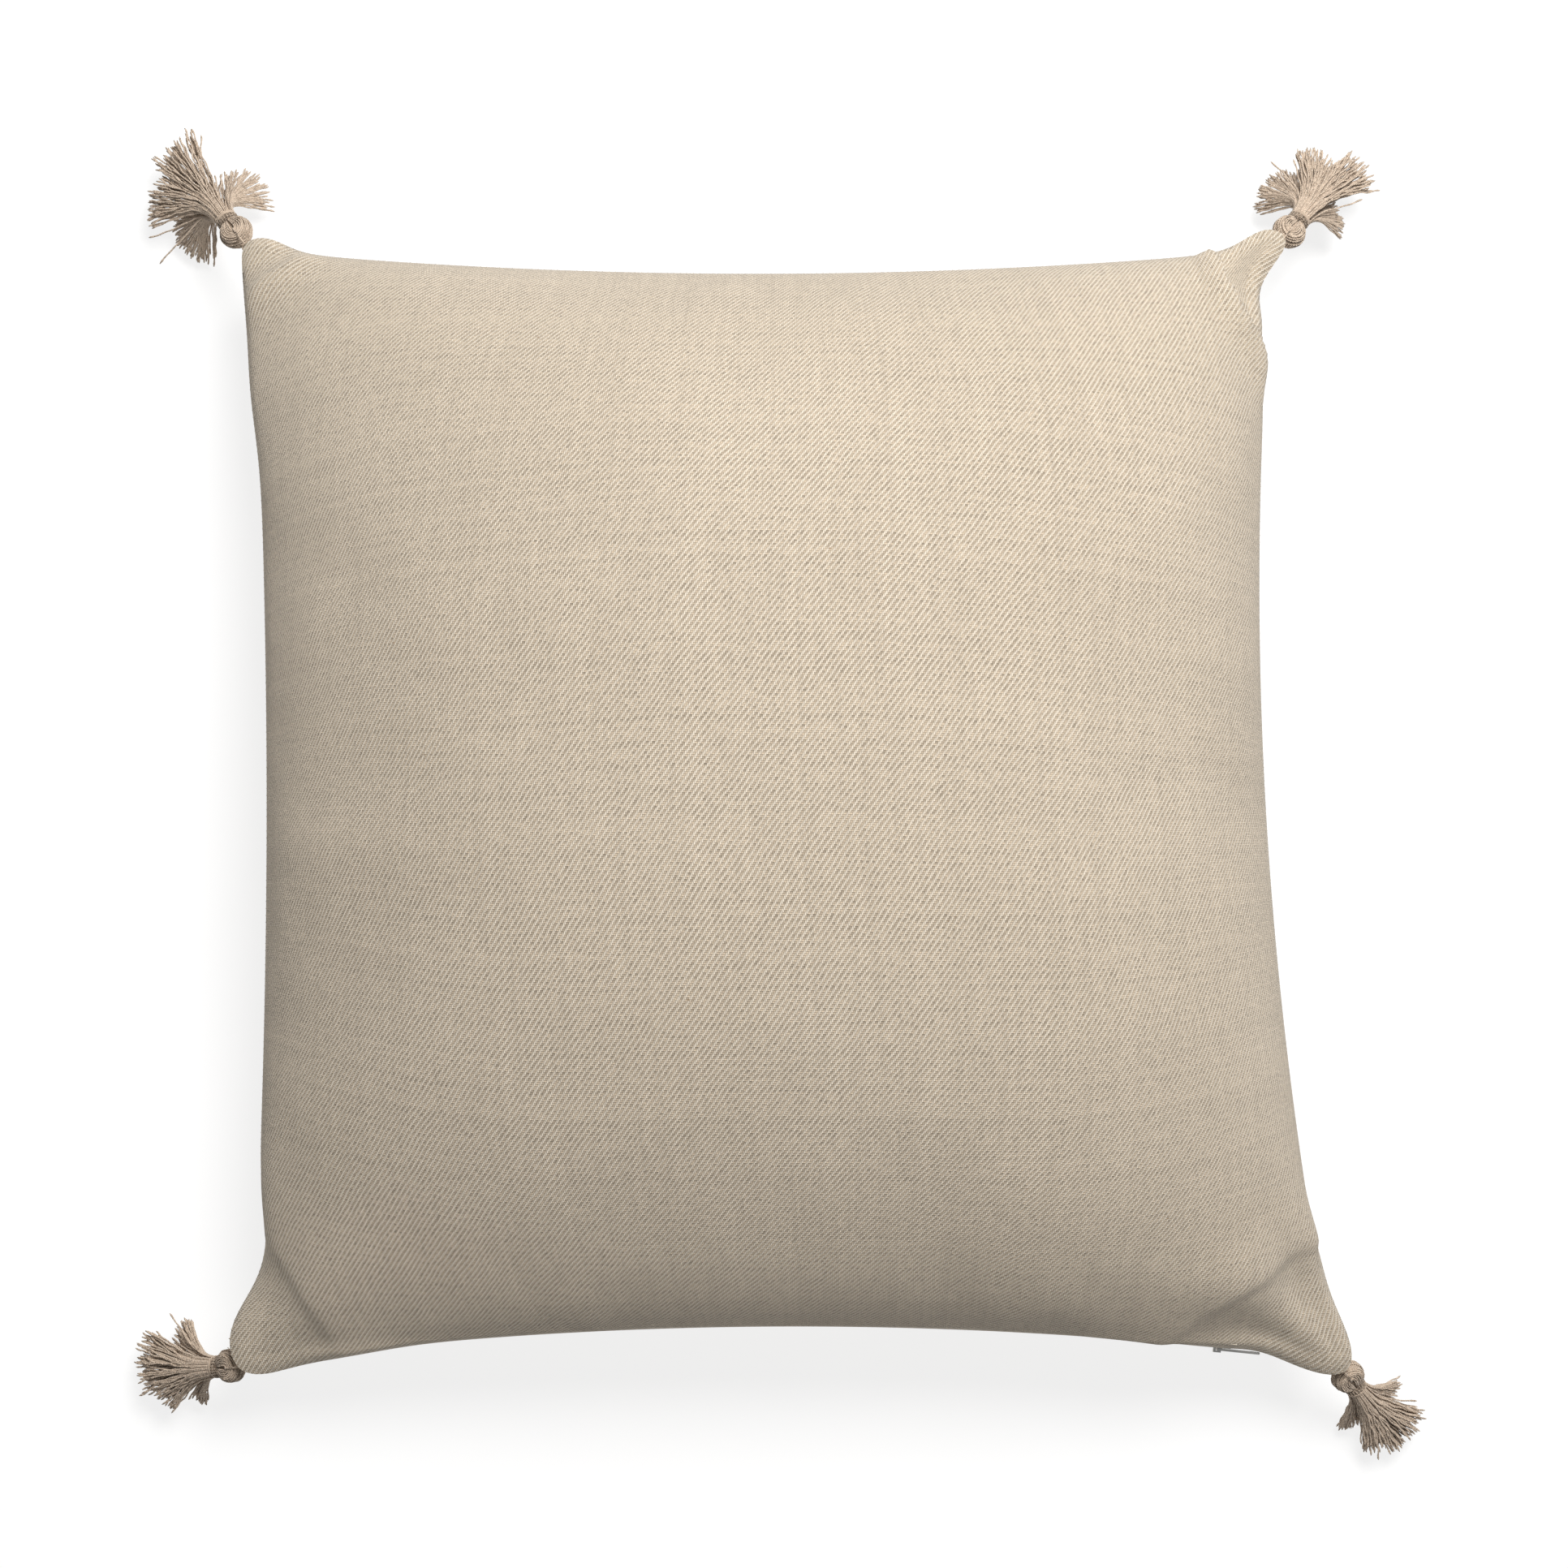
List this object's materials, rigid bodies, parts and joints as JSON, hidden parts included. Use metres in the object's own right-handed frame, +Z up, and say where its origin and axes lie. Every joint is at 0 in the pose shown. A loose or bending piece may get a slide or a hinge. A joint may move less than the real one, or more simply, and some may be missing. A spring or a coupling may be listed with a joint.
{
  "type": "floor cushion",
  "caption": "Square filled floor cushion with a woven twill cover, a zip in its front edge and a yarn tassel hanging at each corner.",
  "frame": {"origin": "on the floor plane, in the face the cushion rests on, under the middle between its four seam corners", "axes": "+X to the cushion's right, +Y to its back (away from the zip edge), +Z up"},
  "size_m": [0.7069, 0.7241, 0.2011],
  "materials": {
    "twill": "matte",
    "thread": "matte",
    "casing": "matte",
    "filling": "matte",
    "yarn": "matte",
    "zip_tape": "matte",
    "zip_coil": "satin",
    "zip_metal": "satin"
  },
  "bodies": {
    "cushion": {"cover_top_panel": "twill", "cover_bottom_panel": "twill", "cover_seam_thread": "thread", "insert_top_casing": "casing", "insert_bottom_casing": "casing", "insert_filling": "filling", "zip_tape_upper": "zip_tape", "zip_tape_lower": "zip_tape", "zip_coil_upper": "zip_coil", "zip_coil_lower": "zip_coil", "zip_stop_left": "zip_metal", "zip_stop_right": "zip_metal", "corner_tack_back_left": "thread", "corner_tack_back_right": "thread", "corner_tack_front_left": "thread", "corner_tack_front_right": "thread"},
    "slider": {"zip_slider": "zip_metal"},
    "pull": {"zip_pull": "zip_metal"},
    "loop_back_left": {"hanging_loop_back_left": "yarn"},
    "tassel_back_left": {"tassel_head_back_left": "yarn", "tassel_binding_back_left": "yarn", "tassel_skirt_back_left": "yarn"},
    "loop_back_right": {"hanging_loop_back_right": "yarn"},
    "tassel_back_right": {"tassel_head_back_right": "yarn", "tassel_binding_back_right": "yarn", "tassel_skirt_back_right": "yarn"},
    "loop_front_left": {"hanging_loop_front_left": "yarn"},
    "tassel_front_left": {"tassel_head_front_left": "yarn", "tassel_binding_front_left": "yarn", "tassel_skirt_front_left": "yarn"},
    "loop_front_right": {"hanging_loop_front_right": "yarn"},
    "tassel_front_right": {"tassel_head_front_right": "yarn", "tassel_binding_front_right": "yarn", "tassel_skirt_front_right": "yarn"}
  },
  "joints": [
    {"name": "zip_travel", "type": "hinge", "parent": "cushion", "child": "slider", "pos_m": [0.0029, -0.8806, -0.76828], "axis": [-0.0039, 0.8171, -0.5765], "range_deg": [-25.1, 0]},
    {"name": "zip_pull_flip", "type": "hinge", "parent": "slider", "child": "pull", "pos_m": [0.23633, -0.29216, 0.06595], "axis": [0.1844, -0.0113, 0.9828], "range_deg": [-150, 0]},
    {"name": "loop_lift_back_left", "type": "hinge", "parent": "cushion", "child": "loop_back_left", "pos_m": [-0.2867, 0.3022, 0.054], "axis": [0.788, 0.6157, 0], "range_deg": [0, 60]},
    {"name": "tassel_swing_back_left", "type": "hinge", "parent": "loop_back_left", "child": "tassel_back_left", "pos_m": [-0.29365, 0.3111, 0.04799], "axis": [-0.289, 0.3699, 0.8829], "range_deg": [-40, 40]},
    {"name": "loop_lift_back_right", "type": "hinge", "parent": "cushion", "child": "loop_back_right", "pos_m": [0.2697, 0.3022, 0.05794], "axis": [0.766, -0.6428, 0], "range_deg": [0, 60]},
    {"name": "tassel_swing_back_right", "type": "hinge", "parent": "loop_back_right", "child": "tassel_back_right", "pos_m": [0.27696, 0.31085, 0.05193], "axis": [0.3018, 0.3596, 0.8829], "range_deg": [-40, 40]},
    {"name": "loop_lift_front_left", "type": "hinge", "parent": "cushion", "child": "loop_front_left", "pos_m": [-0.2867, -0.3022, 0.054], "axis": [-0.1736, 0.9848, 0], "range_deg": [0, 60]},
    {"name": "tassel_swing_front_left", "type": "hinge", "parent": "loop_front_left", "child": "tassel_front_left", "pos_m": [-0.2969, -0.304, 0.04648], "axis": [-0.5789, -0.1021, 0.809], "range_deg": [-40, 40]},
    {"name": "loop_lift_front_right", "type": "hinge", "parent": "cushion", "child": "loop_front_right", "pos_m": [0.3037, -0.3022, 0.04982], "axis": [-0.788, -0.6157, 0], "range_deg": [0, 60]},
    {"name": "tassel_swing_front_right", "type": "hinge", "parent": "loop_front_right", "child": "tassel_front_right", "pos_m": [0.31007, -0.31036, 0.0423], "axis": [0.3619, -0.4632, 0.809], "range_deg": [-40, 40]}
  ]
}
